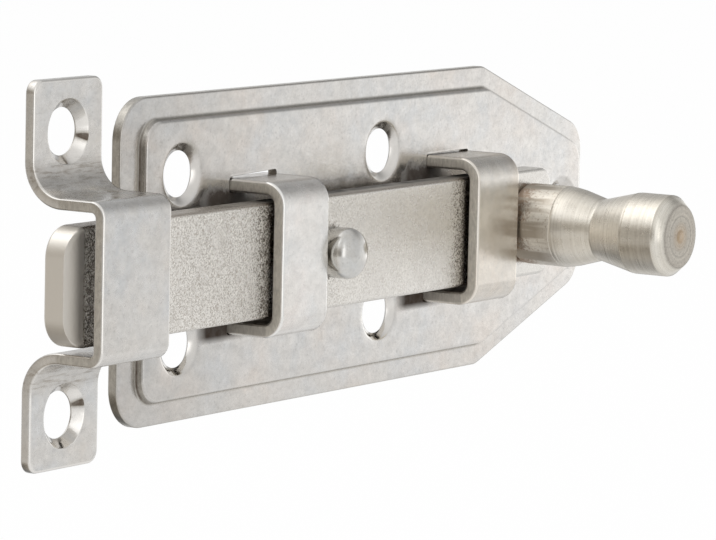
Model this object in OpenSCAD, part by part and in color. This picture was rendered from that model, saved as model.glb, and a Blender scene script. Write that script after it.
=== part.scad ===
// Window bolt of pressed stainless sheet, shown with its bar thrown into the keeper.
// X runs along the bar with the tip at -X, -Y is the front, and the plate's back lies on Y = 0.
// The origin is the middle of the four corner screw holes, on the back face.

/* [Plate] */
// Length of the plate
plate_l = 120; // [110:1:140]
// Height of the plate
plate_h = 45; // [44:1:52]
// Thickness of the plate's sheet
plate_t = 1.5; // [1.2:0.1:2]
// Height by which the inner panel stands in front of the rim
panel_rise = 1.2; // [0.8:0.1:1.4]
// Radius of the plate's corners at the tip end
plate_corner_r = 5.8; // [3:0.1:8]
// Length of the plate's tapered end
taper_l = 29.2; // [20:0.1:34]
// Height of the plate's knob end
end_h = 23; // [20:1:30]
// Radius where the taper starts
taper_r = 4; // [1:0.5:8]
// Radius of the corners at the knob end
end_r = 5; // [2:0.5:8]

/* [Plate rim] */
// Width of the rim at the tip end
rim_tip = 4.3; // [3.5:0.1:5]
// Width of the rim along the top and the bottom
rim_side = 3.2; // [2.5:0.1:4]
// Width of the rim along the taper
rim_taper = 3; // [2.5:0.1:4]
// Width of the rim at the knob end
rim_end = 2; // [1.8:0.1:3]
// Radius of the panel's corners at the tip end
panel_corner_r = 3.5; // [2.5:0.1:6]
// Radius of the panel's corners at the knob end
panel_end_r = 4; // [3:0.1:6]
// Rounding of the panel's front edge
panel_edge_r = 0.6; // [0.2:0.1:0.8]
// Slope of the panel's step, measured along the plate
step_slope = 0.3; // [0.1:0.1:0.6]
// Thickness of the metal in the panel's step
step_wall = 1.2; // [0.8:0.1:1.4]

/* [Screw holes] */
// Distance between the two columns of plate holes
hole_pitch_x = 49.5; // [46:0.5:50]
// Distance between the two rows of plate holes
hole_pitch_z = 23.4; // [22.4:0.1:24.4]
// Distance from the plate's tip end to the first column
hole_edge = 12.5; // [11:0.5:14]
// Distance from the plate's tip end to the hole in the taper
end_hole_x = 112.2; // [110:0.1:112.4]
// Diameter of the screw holes
screw_d = 6.4; // [4:0.1:6.6]
// Diameter of the countersinks at the surface
sink_d = 8.9; // [8.6:0.1:9.2]

/* [Guides] */
// Width of each guide strap
guide_w = 11.2; // [8:0.1:12]
// Thickness of the guide straps
guide_t = 1.8; // [1.2:0.1:2]
// Height over the outside of the straps
guide_h = 21.6; // [21:0.1:22.4]
// Depth from the plate's back to the straps' front face
guide_depth = 11.9; // [11.6:0.1:14]
// Outer radius of the straps' bends
guide_bend_r = 3.3; // [2.4:0.1:4]
// Middle of the strap beside the tip, along X
guide_tip_x = -7.9; // [-9:0.1:-7.5]
// Middle of the strap beside the knob, along X
guide_knob_x = 42.2; // [41.6:0.1:42.4]
// Height of the guides' middle above the screw rectangle's middle
guide_z = -0.5; // [-0.8:0.1:0]
// Gap between a strap's leg and the outer end of its slot
slot_gap = 1; // [0.6:0.1:1.1]
// Gap between a strap's leg and the slot's two long sides
slot_side_gap = 0.3; // [0.1:0.1:0.5]
// Radius of the slots' corners
slot_r = 0.7; // [0.3:0.1:0.8]
// Thickness of the peened ends behind the panel
peen_t = 0.7; // [0.4:0.1:0.8]
// Width by which the peened ends lap over the slot
peen_lap = 0.6; // [0.3:0.1:0.8]
// Length of each peened end along the bar
peen_w = 3.7; // [2:0.1:5]

/* [Keeper] */
// Width of the keeper's strip
keeper_w = 15; // [13:0.5:16]
// Thickness of the keeper's strip
keeper_t = 1.5; // [1:0.1:1.8]
// Height over the keeper's two ears
keeper_h = 51.9; // [51:0.1:56]
// Height over the outside of the keeper's bridge
bridge_h = 21.8; // [21.4:0.1:22.4]
// Depth from the ears' back to the bridge's front face
keeper_depth = 13.1; // [12.8:0.1:16]
// Middle of the keeper along X
keeper_x = -48.8; // [-49:0.1:-46]
// Inner radius of the bends between the ears and the bridge
ear_bend_r = 4.4; // [3:0.1:4.8]
// Outer radius of the bends at the bridge's front
bridge_bend_r = 2.2; // [2:0.1:4]
// Distance between the ears' holes
keeper_pitch = 37.7; // [37:0.1:39]
// Radius of the ears' corners
ear_r = 1.8; // [0.5:0.1:3]

/* [Bar] */
// Length of the bar
bar_l = 120; // [119:0.5:121]
// Height of the bar
bar_h = 16; // [14:0.1:16.4]
// Thickness of the bar
bar_t = 4; // [3:0.1:4.4]
// How far the thrown tip stands in front of the plate's tip end
bar_throw = 22.1; // [20:0.1:23]
// Depth from the plate's back to the bar's front face
bar_depth = 9.7; // [9.5:0.1:9.8]
// Radius of the tip's corners
tip_r = 4.2; // [2:0.1:6]
// Radius of the corners at the knob end
bar_end_r = 2.8; // [1:0.1:4]
// Rounding of the bar's long edges
bar_edge_r = 0.6; // [0.2:0.1:1]
// Length of the bevel on the tip's front
bevel_l = 3; // [1:0.1:5]
// Depth of the bevel on the tip's front
bevel_d = 0.8; // [0.3:0.1:1.5]

/* [Stop pin] */
// Diameter of the stop pin
pin_d = 7.2; // [5:0.1:7.2]
// Height of the pin's side above the bar
pin_h = 3.6; // [2.5:0.1:4]
// Height of the pin's domed end
pin_dome = 1.4; // [0.2:0.1:2]
// Diameter of the pin's shank in the bar
pin_shank_d = 4; // [3:0.1:5]
// Gap between the pin and the strap that it meets
stop_gap = 0.35; // [0.3:0.05:0.5]

/* [Knob] */
// Diameter of the knob
knob_d = 12; // [10:0.1:12]
// Diameter of the knob's waist
waist_d = 9.1; // [6:0.1:9.4]
// Length of the knob in front of the bar
knob_l = 26.1; // [22:0.1:32]
// Length of the knob's straight foot
foot_l = 7.2; // [5:0.1:9]
// Distance from the bar to the waist
waist_l = 13.3; // [12:0.1:14]
// Distance from the bar to the start of the straight head
head_l = 19.3; // [17:0.1:20]
// Length of the chamfer on the head
head_chamfer = 1.6; // [0.5:0.1:2]
// Diameter of the flat end
face_d = 9.2; // [8:0.1:10]
// Rounding of the knob's foot
foot_r = 0.8; // [0.3:0.1:1]
// Diameter of the small pip on the flat end
pip_d = 1.8; // [1:0.1:2.5]
// Height of the small pip
pip_h = 0.15; // [0.1:0.05:0.3]
// Diameter of the knob's shank in the bar
knob_shank_d = 6; // [5:0.1:7]
// Diameter of the shank's peened end behind the bar
knob_peen_d = 8; // [7:0.1:9]
// Thickness of the shank's peened end
knob_peen_t = 0.8; // [0.5:0.1:1]
// Gap between the knob and the strap beside it
knob_gap = 0.4; // [0.3:0.1:1]

/* [Hidden] */
$fn = 96;
hull_fn = 48;
cut = 0.5;
corner_hair = 0.2;
steel = [0.78, 0.78, 0.76];
plate_x0 = -hole_pitch_x / 2 - hole_edge;
plate_x1 = plate_x0 + plate_l;
panel_y = plate_t + panel_rise;
sink_depth = (sink_d - screw_d) / 2;
end_hole = plate_x0 + end_hole_x;
row_z = guide_z;
bar_x0 = plate_x0 - bar_throw;
bar_x1 = bar_x0 + bar_l;
bar_back = bar_depth - bar_t;
pin_x = guide_tip_x + guide_w / 2 + stop_gap + pin_d / 2;
knob_x = guide_knob_x + guide_w / 2 + knob_gap + knob_d / 2;
slot_in = guide_h / 2 - guide_t - slot_side_gap;
slot_out = guide_h / 2 + slot_gap;
slot_w = guide_w + 2 * slot_side_gap;
bridge_t_r = bridge_bend_r - keeper_t;
ear_bend_out = ear_bend_r + keeper_t;

// Outline corners of the plate, running round from the tip end's bottom
plate_pts = [
    [plate_x0, -plate_h / 2],
    [plate_x1 - taper_l, -plate_h / 2],
    [plate_x1, -end_h / 2],
    [plate_x1, end_h / 2],
    [plate_x1 - taper_l, plate_h / 2],
    [plate_x0, plate_h / 2]
];
plate_radii = [plate_corner_r, taper_r, end_r, end_r, taper_r, plate_corner_r];
plate_rims = [rim_side, rim_taper, rim_end, rim_taper, rim_side, rim_tip];

function unit(v) = v / norm(v);
function wrap(pts, i) = pts[(i + len(pts)) % len(pts)];
function left_of(v) = [-v[1], v[0]];
function cross2(a, b) = a[0] * b[1] - a[1] * b[0];

// Angle between the two edges that meet at corner i
function corner_angle(pts, i) = acos(unit(wrap(pts, i - 1) - pts[i]) * unit(wrap(pts, i + 1) - pts[i]));

// Distance from corner i to where a fillet of radius r starts
function fillet_len(pts, i, r) = r / tan(corner_angle(pts, i) / 2);

// Centre of the fillet of radius r at corner i
function fillet_centre(pts, i, r) =
    let (a = unit(wrap(pts, i - 1) - pts[i]), b = unit(wrap(pts, i + 1) - pts[i]))
    pts[i] + unit(a + b) * r / sin(corner_angle(pts, i) / 2);

// Where two lines meet, each given by a point and a direction
function meet(p, u, q, v) = p + u * cross2(q - p, v) / cross2(u, v);

// Corners of the outline after edge i has moved inwards by d[i]
function inset(pts, d) = [
    for (i = [0 : len(pts) - 1])
        let (
            a = wrap(pts, i - 1), b = pts[i], c = wrap(pts, i + 1),
            u = unit(b - a), v = unit(c - b)
        )
        meet(b + left_of(u) * wrap(d, i - 1), u, b + left_of(v) * d[i], v)
];

// Convex outline with a true arc at each corner
module rounded(pts, radii) {
    n = len(pts);
    polygon([
        for (i = [0 : n - 1], s = [-1, 1])
            pts[i] + unit(wrap(pts, i + s) - pts[i]) * fillet_len(pts, i, radii[i])
    ]);
    for (i = [0 : n - 1])
        translate(fillet_centre(pts, i, radii[i]))
            circle(r = radii[i]);
}

// Rectangle from corner a to corner b with the radii given from its lower left corner round
module rounded_box(a, b, radii) {
    rounded([a, [b[0], a[1]], b, [a[0], b[1]]], radii);
}

// Stands a drawing on the X-Z plane and gives it depth from y0 to y1 in front of the back face
module front(y0, y1) {
    translate([0, -y0, 0])
        rotate([90, 0, 0])
            linear_extrude(y1 - y0)
                children();
}

// Turns a drawing of radius and depth about an axis that points out of the plate
module turned(x, z) {
    translate([x, 0, z])
        rotate([90, 0, 0])
            rotate_extrude()
                children();
}

// Gives a side drawing of depth and height a width w, centred on x
module side(x, w) {
    translate([x - w / 2, 0, 0])
        rotate([90, 0, 90])
            linear_extrude(w)
                children();
}

// Countersunk screw hole through a sheet whose front face is at depth y
module screw_hole(x, z, y) {
    turned(x, z)
        polygon([
            [0, -cut],
            [screw_d / 2, -cut],
            [screw_d / 2, y - sink_depth],
            [sink_d / 2, y],
            [sink_d / 2, y + cut],
            [0, y + cut]
        ]);
}

// Domed panel block: a rounded front edge over a sloping step, from depth y0 to y1
module panel_block(pts, radii, y0, y1, edge) {
    hull()
        for (i = [0 : len(pts) - 1])
            let (c = fillet_centre(pts, i, radii[i]))
            translate([c[0], 0, c[1]])
                rotate([90, 0, 0])
                    rotate_extrude($fn = hull_fn)
                        polygon(concat(
                            [[0, y0], [radii[i], y0]],
                            [
                                for (a = [0 : 22.5 : 90])
                                    [
                                        radii[i] - step_slope - edge * (1 - cos(a)),
                                        y1 - edge * (1 - sin(a))
                                    ]
                            ],
                            [[0, y1]]
                        ));
}

// Slot for one leg of a guide, on the side of the row given by s
module slot(x, s) {
    front(-cut, panel_y + cut)
        translate([x, guide_z])
            rounded_box(
                [-slot_w / 2, s > 0 ? slot_in : -slot_out],
                [slot_w / 2, s > 0 ? slot_out : -slot_in],
                [slot_r, slot_r, slot_r, slot_r]
            );
}

module back_plate() {
    panel_pts = inset(plate_pts, plate_rims);
    panel_radii = [panel_corner_r, taper_r, panel_end_r, panel_end_r, taper_r, panel_corner_r];
    recess_pts = inset(panel_pts, [for (p = panel_pts) step_wall]);
    recess_radii = [for (r = panel_radii) r - step_wall];
    color(steel)
        difference() {
            union() {
                front(0, plate_t)
                    rounded(plate_pts, plate_radii);
                panel_block(panel_pts, panel_radii, plate_t / 2, panel_y, panel_edge_r);
            }
            panel_block(recess_pts, recess_radii, -cut, panel_rise, panel_edge_r / 2);
            for (x = [-1, 1], z = [-1, 1])
                screw_hole(x * hole_pitch_x / 2, z * hole_pitch_z / 2, panel_y);
            screw_hole(end_hole, 0, panel_y);
            for (x = [guide_tip_x, guide_knob_x], s = [-1, 1])
                slot(x, s);
        }
}

// Guide strap: a U-bent strip whose legs run through the plate and are peened over behind it
module guide(x) {
    y0 = panel_rise - peen_t;
    peen_x = slot_w / 2 + peen_lap - peen_w / 2;
    peen_z = (guide_h + slot_gap - guide_t) / 2;
    peen_h = (guide_t + slot_gap) / 2 + peen_lap;
    translate([0, 0, guide_z]) {
        side(x, guide_w)
            difference() {
                rounded_box(
                    [-guide_depth, -guide_h / 2],
                    [-y0 + cut, guide_h / 2],
                    [guide_bend_r, corner_hair, corner_hair, guide_bend_r]
                );
                rounded_box(
                    [-guide_depth + guide_t, -guide_h / 2 + guide_t],
                    [2 * cut, guide_h / 2 - guide_t],
                    [guide_bend_r - guide_t, corner_hair, corner_hair, guide_bend_r - guide_t]
                );
                translate([-y0, -guide_h])
                    square([guide_h, 2 * guide_h]);
            }
        for (s = [-1, 1], e = [-1, 1])
            front(y0, panel_rise)
                translate([x + e * peen_x, s * peen_z])
                    rounded_box(
                        [-peen_w / 2, -peen_h],
                        [peen_w / 2, peen_h],
                        [slot_r, slot_r, slot_r, slot_r]
                    );
    }
}

module guide_tip() {
    color(steel)
        guide(guide_tip_x);
}

module guide_knob() {
    color(steel)
        guide(guide_knob_x);
}

// Quarter of a bent strip, drawn about its bend centre in the quadrant given by the signs
module bend(r_in, r_out, sx, sy) {
    intersection() {
        difference() {
            circle(r = r_out);
            circle(r = r_in);
        }
        translate([sx > 0 ? 0 : -r_out, sy > 0 ? 0 : -r_out])
            square(r_out);
    }
}

// Upper half of the keeper's side view, as depth and height
module keeper_half() {
    web_z = bridge_h / 2;
    ear_z = web_z + ear_bend_r;
    web_y = keeper_t + ear_bend_r;
    front_y = keeper_depth - bridge_bend_r;
    translate([-keeper_t, ear_z])
        square([keeper_t, keeper_h / 2 - ear_z]);
    translate([-web_y, ear_z])
        bend(ear_bend_r, ear_bend_out, 1, -1);
    translate([-front_y, web_z - keeper_t])
        square([front_y - web_y, keeper_t]);
    translate([-front_y, web_z - bridge_bend_r])
        bend(bridge_t_r, bridge_bend_r, -1, 1);
    translate([-keeper_depth, 0])
        square([keeper_t, web_z - bridge_bend_r]);
}

module keeper() {
    color(steel)
        difference() {
            intersection() {
                side(keeper_x, keeper_w) {
                    keeper_half();
                    mirror([0, 1])
                        keeper_half();
                }
                front(-cut, keeper_depth + cut)
                    translate([keeper_x, 0])
                        rounded_box(
                            [-keeper_w / 2, -keeper_h / 2],
                            [keeper_w / 2, keeper_h / 2],
                            [ear_r, ear_r, ear_r, ear_r]
                        );
            }
            for (s = [-1, 1])
                screw_hole(keeper_x, s * keeper_pitch / 2, keeper_t);
        }
}

module bolt_bar() {
    color(steel)
        difference() {
            intersection() {
                front(bar_back - cut, bar_depth + cut)
                    rounded_box(
                        [bar_x0, row_z - bar_h / 2],
                        [bar_x1, row_z + bar_h / 2],
                        [tip_r, bar_end_r, bar_end_r, tip_r]
                    );
                side((bar_x0 + bar_x1) / 2, bar_l + 2 * cut)
                    rounded_box(
                        [-bar_depth, row_z - bar_h / 2],
                        [-bar_back, row_z + bar_h / 2],
                        [bar_edge_r, bar_edge_r, bar_edge_r, bar_edge_r]
                    );
            }
            translate([0, 0, row_z - bar_h])
                linear_extrude(2 * bar_h)
                    polygon([
                        [bar_x0 - cut, -bar_depth + bevel_d],
                        [bar_x0, -bar_depth + bevel_d],
                        [bar_x0 + bevel_l, -bar_depth],
                        [bar_x0 + bevel_l, -bar_depth - cut],
                        [bar_x0 - cut, -bar_depth - cut]
                    ]);
            turned(pin_x, row_z)
                translate([0, bar_back - cut])
                    square([pin_shank_d / 2, bar_t + 2 * cut]);
            turned(knob_x, row_z)
                translate([0, bar_back - cut])
                    square([knob_shank_d / 2, bar_t + 2 * cut]);
        }
}

module stop_pin() {
    r = pin_d / 2;
    dome_r = (r * r + pin_dome * pin_dome) / (2 * pin_dome);
    top = bar_depth + pin_h;
    color(steel)
        turned(pin_x, row_z) {
            translate([0, bar_back])
                square([pin_shank_d / 2, bar_t + cut]);
            translate([0, bar_depth])
                square([r, pin_h]);
            intersection() {
                translate([0, top + pin_dome - dome_r])
                    circle(r = dome_r);
                translate([0, top])
                    square([r, pin_dome + cut]);
            }
        }
}

module knob() {
    r = knob_d / 2;
    color([0.74, 0.72, 0.66])
        turned(knob_x, row_z) {
            translate([0, bar_back - knob_peen_t])
                square([knob_peen_d / 2, knob_peen_t]);
            translate([0, bar_back - cut])
                square([knob_shank_d / 2, bar_t + 2 * cut]);
            translate([0, bar_depth]) {
                translate([r - foot_r, foot_r])
                    circle(r = foot_r);
                polygon([
                    [0, 0],
                    [r - foot_r, 0],
                    [r, foot_r],
                    [r, foot_l],
                    [waist_d / 2, waist_l],
                    [r, head_l],
                    [r, knob_l - head_chamfer],
                    [face_d / 2, knob_l],
                    [pip_d / 2, knob_l],
                    [pip_d / 2 - pip_h, knob_l + pip_h],
                    [0, knob_l + pip_h]
                ]);
            }
        }
}

back_plate();
guide_tip();
guide_knob();
keeper();
bolt_bar();
stop_pin();
knob();
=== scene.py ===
"""Stainless window bolt with its keeper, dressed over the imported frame.

Every size below is in millimetres in the part's own frame: X along the bar with the thrown tip at -X,
depth in front of the mounting plane along -Y, and Z up. make() turns them into metres.
"""

import bmesh
import bpy
import numpy as np
from mathutils import Matrix, Vector
from mathutils.geometry import delaunay_2d_cdt


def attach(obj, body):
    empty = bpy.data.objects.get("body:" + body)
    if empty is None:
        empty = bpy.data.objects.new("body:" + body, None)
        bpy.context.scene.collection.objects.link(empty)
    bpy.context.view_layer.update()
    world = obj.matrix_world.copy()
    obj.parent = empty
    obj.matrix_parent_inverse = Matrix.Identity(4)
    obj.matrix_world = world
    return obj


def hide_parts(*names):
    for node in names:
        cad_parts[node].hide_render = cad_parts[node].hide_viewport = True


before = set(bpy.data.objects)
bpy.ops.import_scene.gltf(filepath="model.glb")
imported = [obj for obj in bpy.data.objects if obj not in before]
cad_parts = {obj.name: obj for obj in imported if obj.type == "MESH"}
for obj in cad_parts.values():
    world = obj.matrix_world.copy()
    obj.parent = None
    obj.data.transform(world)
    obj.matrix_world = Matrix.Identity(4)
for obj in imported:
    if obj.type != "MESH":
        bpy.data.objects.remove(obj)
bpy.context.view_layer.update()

# BACK PLATE
# Pressed from 1.5 mm stainless sheet: the inner panel is pushed forward out of a flat rim, then the
# screw holes are countersunk and four slots are punched for the straps. Tumbled to a soft satin.
MM = 0.001

# Depths of the rim's front and of the panel's front and back; the outline's ends, half height, start of
# the taper and half height at its end; screw holes; the straps' middles and the height of the bar's row
SHEET = 1.5
PANEL = 2.7
PANEL_BACK = 1.2
PLATE_ENDS = (-37.25, 82.75)
PLATE_HALF = 22.5
TAPER_X = 53.55
END_HALF = 11.5
HOLES = [(-24.75, 11.7), (24.75, 11.7), (-24.75, -11.7), (24.75, -11.7), (74.95, 0.0)]
HOLE_R, SINK_R, SINK = 3.2, 4.45, 1.25
GUIDE_X = (-7.9, 42.2)
ROW_Z = -0.5
# Slots, from the row's height: half width, inner end and corner, then for the upper and the lower side
# of each strap the outer end on the left and on the right, which the punch has left uneven
SLOT_HALF, SLOT_IN, SLOT_R = 5.68, 8.85, 0.45
SLOT_OUT = {1: [(11.04, 11.42), (10.92, 11.05)], -1: [(10.95, 10.95)] * 2}
# Widths of the flat rim on each side of the outline, and of the recess's wall
RIM = [3.2, 3, 2, 3, 3.2, 4.3]
RECESS_IN = 1.2
# Corners of the plate, of the panel and of the recess; rounds of the plate's two edges and the panel's
PLATE_CORNERS = [5.8, 4, 5, 5, 4, 5.8]
PANEL_CORNERS = [3.5, 4, 4, 4, 4, 3.5]
RECESS_CORNERS = [2.3, 2.8, 2.8, 2.8, 2.8, 2.3]
BACK_R, FRONT_R, PANEL_R = 0.15, 0.3, 0.5


def fillet_loop(corners, radii, steps=14):
    """Rounded polygon, corners anticlockwise: each corner is an arc of its radius that touches both
    edges, swept from the outward normal of the edge before it to that of the edge after it."""
    p = np.asarray(corners, float)
    r = np.asarray(radii, float)[:, None]
    along = np.roll(p, -1, 0) - p
    along /= np.linalg.norm(along, axis=1)[:, None]
    out = np.stack([along[:, 1], -along[:, 0]], 1)
    before = np.roll(out, 1, 0)
    half = (before + out) / 2
    centre = p - r * half / np.sum(half * half, 1)[:, None]
    a0 = np.arctan2(before[:, 1], before[:, 0])
    turn = np.mod(np.arctan2(out[:, 1], out[:, 0]) - a0, 2 * np.pi)
    a = a0[:, None] + turn[:, None] * np.linspace(0, 1, steps)
    normals = np.stack([np.cos(a), np.sin(a)], -1)
    return (centre[:, None] + r[..., None] * normals).reshape(-1, 2), normals.reshape(-1, 2)


def inset_polygon(corners, widths):
    """Polygon whose edge i has moved inwards by widths[i]: each corner is where two moved edges meet."""
    p = np.asarray(corners, float)
    w = np.asarray(widths, float)[:, None]
    u = np.roll(p, -1, 0) - p
    u /= np.linalg.norm(u, axis=1)[:, None]
    inward = np.stack([-u[:, 1], u[:, 0]], 1)
    q = p + inward * w
    qa, ua = np.roll(q, 1, 0), np.roll(u, 1, 0)
    step = q - qa
    k = (step[:, 0] * u[:, 1] - step[:, 1] * u[:, 0]) / (ua[:, 0] * u[:, 1] - ua[:, 1] * u[:, 0])
    return qa + ua * k[:, None]


def ring(centre, radius, steps=72, extra=()):
    """Circle and its outward normals, at even angles and at any extra ones."""
    even = np.linspace(0, 2 * np.pi, steps, endpoint=False)
    a = np.unique(np.round(np.mod(np.concatenate([even, extra]), 2 * np.pi), 9))
    n = np.stack([np.cos(a), np.sin(a)], 1)
    return np.asarray(centre) + radius * n, n


def edge_round(radius, inset, depth, start, stop, steps=5):
    """Quarter round in a section: (inset, depth) pairs about its centre, from angle start to stop."""
    a = np.radians(np.linspace(start, stop, steps))
    return [(inset - radius * np.cos(t), depth + radius * np.sin(t)) for t in a]


def within(at, polygon):
    """Which points lie inside a polygon: a ray to the right from each crosses it an odd number of times."""
    a, b = np.asarray(polygon, float), np.roll(polygon, -1, 0)
    level = (a[:, 1] > at[:, 1:2]) != (b[:, 1] > at[:, 1:2])
    with np.errstate(divide="ignore", invalid="ignore"):
        cross = a[:, 0] + (at[:, 1:2] - a[:, 1]) * (b[:, 0] - a[:, 0]) / (b[:, 1] - a[:, 1])
    return np.sum(level & (cross > at[:, :1]), 1) % 2 == 1


def grid_faces(n, m):
    """Quads of n rows of m points: each point with the next one of its row and the same two of the next
    row. The last row joins the first."""
    i, j = np.meshgrid(np.arange(n), np.arange(m - 1), indexing="ij")
    k = (i + 1) % n
    return np.stack([i * m + j, k * m + j, k * m + j + 1, i * m + j + 1], -1).reshape(-1, 4)


def placed(name, data):
    """Object of that name that holds the data, linked to the scene."""
    thing = bpy.data.objects.new(name, data)
    bpy.context.scene.collection.objects.link(thing)
    return thing


class Shell:
    """Collects surfaces that share their borders, and makes one closed mesh of them."""

    def __init__(self):
        self.points, self.faces, self.cut, self.count = [], [], [], 0

    def add(self, points, faces, cut=0.0):
        """Takes (n, 3) points, faces by row and each point's level of finish and painted light: 0 is skin, 1
        sheared metal, 2 a dull dark brown that is mostly painted shade, and -1 a polish with a painted
        highlight."""
        pts = np.asarray(points, float).reshape(-1, 3)
        self.points.append(pts)
        self.faces += (np.asarray(faces) + self.count).tolist()
        self.cut.append(np.broadcast_to(np.asarray(cut, float), len(pts)) + 0.0)
        self.count += len(pts)

    def wall(self, loop, section, shape=None, cut=1.0):
        """Outline carried along a section: point i moves inwards along its own normal by each inset of
        the section and lies at that pair's depth. shape bends the result; the level of finish and painted light
        is one value or one a pair.
        Returns the outline as it is at the section's first pair and at its last one."""
        flat, normals = loop
        inset, depth = np.asarray(section, float).T
        at = flat[:, None] - normals[:, None] * inset[:, None]
        pts = np.concatenate([at, np.broadcast_to(depth[:, None], at.shape[:2] + (1,))], -1)
        levels = np.broadcast_to(np.asarray(cut, float), at.shape[:2]).reshape(-1)
        self.add((shape or stand)(pts.reshape(-1, 3)), grid_faces(*at.shape[:2]), levels)
        return at[:, 0], at[:, -1]

    def face(self, loops, depth, shape=None, folds=(), cut=0.0):
        """Flat face at one depth inside the first loop and outside the others: triangles that keep to
        every loop and to the fold lines across it."""
        pts, edges, start = [], [], 0
        for flat in loops:
            k = np.arange(len(flat))
            edges += (np.stack([k, np.roll(k, -1)], 1) + start).tolist()
            pts.append(flat)
            start += len(flat)
        edges += [list(f) for f in folds]
        flat = [Vector(p) for p in np.concatenate(pts)]
        out = delaunay_2d_cdt(flat, edges, [], 1, 1e-6)
        at, tris = np.array([v[:] for v in out[0]]), np.array(out[2])
        middle = at[tris].mean(1)
        kept = np.all([within(middle, p) == (i == 0) for i, p in enumerate(pts)], 0)
        at = np.concatenate([at, np.full((len(at), 1), float(depth))], 1)
        self.add((shape or stand)(at), tris[kept], cut)

    def make(self, name, body, material, sharp=50):
        """Mesh object in metres at the origin: borders merged, faces outwards, edges sharp past an angle."""
        mesh = bpy.data.meshes.new(name)
        mesh.from_pydata(np.concatenate(self.points) * MM, [], self.faces)
        level = mesh.attributes.new("cut", "FLOAT", "POINT")
        level.data.foreach_set("value", np.concatenate(self.cut).astype(np.float32))
        bm = bmesh.new()
        bm.from_mesh(mesh)
        bmesh.ops.remove_doubles(bm, verts=bm.verts, dist=2e-7)
        bmesh.ops.recalc_face_normals(bm, faces=bm.faces)
        bm.to_mesh(mesh)
        bm.free()
        mesh.shade_smooth()
        mesh.set_sharp_from_angle(angle=np.radians(sharp))
        piece = placed(name, mesh)
        weights = piece.modifiers.new("flats", "WEIGHTED_NORMAL")
        weights.keep_sharp = True
        mesh.materials.append(material)
        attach(piece, body)
        return piece


def stand(p):
    """(across, up, depth) on the plate to X, Y, Z: depth runs out of the plate along -Y."""
    return np.stack([p[:, 0], -p[:, 2], p[:, 1]], 1)


def wire(tree, kind, sockets=(), **settings):
    """Node of one kind: settings are its properties, sockets its inputs as values or linked outputs."""
    node = tree.nodes.new(kind)
    for key, value in settings.items():
        setattr(node, key, value)
    for key, value in dict(sockets).items():
        if isinstance(value, bpy.types.NodeSocket):
            tree.links.new(value, node.inputs[key])
        else:
            node.inputs[key].default_value = value
    return node


def figure(tree, operation, *values):
    """Result of one sum on values or linked outputs."""
    return wire(tree, "ShaderNodeMath", dict(enumerate(values)), operation=operation).outputs[0]


def times(tree, *values):
    """Product of several values."""
    out = values[0]
    for value in values[1:]:
        out = figure(tree, "MULTIPLY", out, value)
    return out


def grain(tree, where, scale, detail=2.0, rough=0.5):
    """Noise of about 1 / scale metres a spot, as a value round 0.5."""
    sockets = {"Vector": where, "Scale": scale, "Detail": detail, "Roughness": rough}
    return wire(tree, "ShaderNodeTexNoise", sockets).outputs["Fac"]


def remap(tree, value, low, high, to_low=0.0, to_high=1.0):
    """Value stretched from low..high to to_low..to_high and held there."""
    sockets = {"Value": value, "From Min": low, "From Max": high, "To Min": to_low, "To Max": to_high}
    return wire(tree, "ShaderNodeMapRange", sockets).outputs["Result"]


def ramp(tree, place, start, stop, low=0.0, high=1.0):
    """Value that goes from low to high while a coordinate goes from start to stop, in millimetres."""
    return remap(tree, place, start * MM, stop * MM, low, high)


def blend(tree, share, a, b, kind="MIX"):
    """Colour b laid over colour a by a share."""
    mix = wire(tree, "ShaderNodeMix", data_type="RGBA", blend_type=kind)
    for slot, value in ((0, share), (6, a), (7, b)):
        if isinstance(value, bpy.types.NodeSocket):
            tree.links.new(value, mix.inputs[slot])
        else:
            mix.inputs[slot].default_value = (*value, 1) if slot else value
    return mix.outputs[2]


def toned(tree, colour, tone):
    """Colour made darker or lighter: each channel times the tone."""
    grey = wire(tree, "ShaderNodeCombineColor", {0: tone, 1: tone, 2: tone}).outputs[0]
    return blend(tree, 1.0, colour, grey, "MULTIPLY")


def shade(colour, by):
    """Plain colour times a number, each channel at most 0.86."""
    return [min(0.86, by * c) for c in colour]


def opened(mat):
    """A material's node tree, its shader and the piece's own coordinates."""
    mat.use_nodes = True
    tree = mat.node_tree
    return tree, tree.nodes["Principled BSDF"], wire(tree, "ShaderNodeTexCoord").outputs["Object"]


def stretched(tree, where, scale):
    """Coordinates times a scale for each axis: a pattern gets longer where the scale is below 1."""
    return wire(tree, "ShaderNodeMapping", {"Vector": where, "Scale": scale}).outputs["Vector"]


def so_far(shader, key):
    """What an input of the shader holds so far: its linked output, or else its value."""
    socket = shader.inputs[key]
    return socket.links[0].from_socket if socket.links else socket.default_value


def emboss(tree, height, depth):
    """Adds a height of 0 to 1 to the surface so far, depth millimetres deep."""
    normal = tree.nodes["Principled BSDF"].inputs["Normal"]
    sockets = {"Height": height, "Strength": 1.0, "Distance": depth * MM}
    if normal.links:
        sockets["Normal"] = normal.links[0].from_socket
    tree.links.new(wire(tree, "ShaderNodeBump", sockets).outputs[0], normal)


def lay_dull_colour(tree, share, tint, dull=0.65):
    """Lays a colour over the steel so far by a share: its own colour, no metal and a dull surface. Most
    of what it lays is painted shade, and on the bar's top face past the knob's strap it lays painted light.
    """
    shader = tree.nodes["Principled BSDF"]
    tinted = blend(tree, share, so_far(shader, "Base Color"), tint)
    tree.links.new(tinted, shader.inputs["Base Color"])
    for key, last in (("Metallic", 0.0), ("Roughness", dull), ("Specular IOR Level", 0.05)):
        tree.links.new(remap(tree, share, 0, 1, so_far(shader, key), last), shader.inputs[key])


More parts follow.
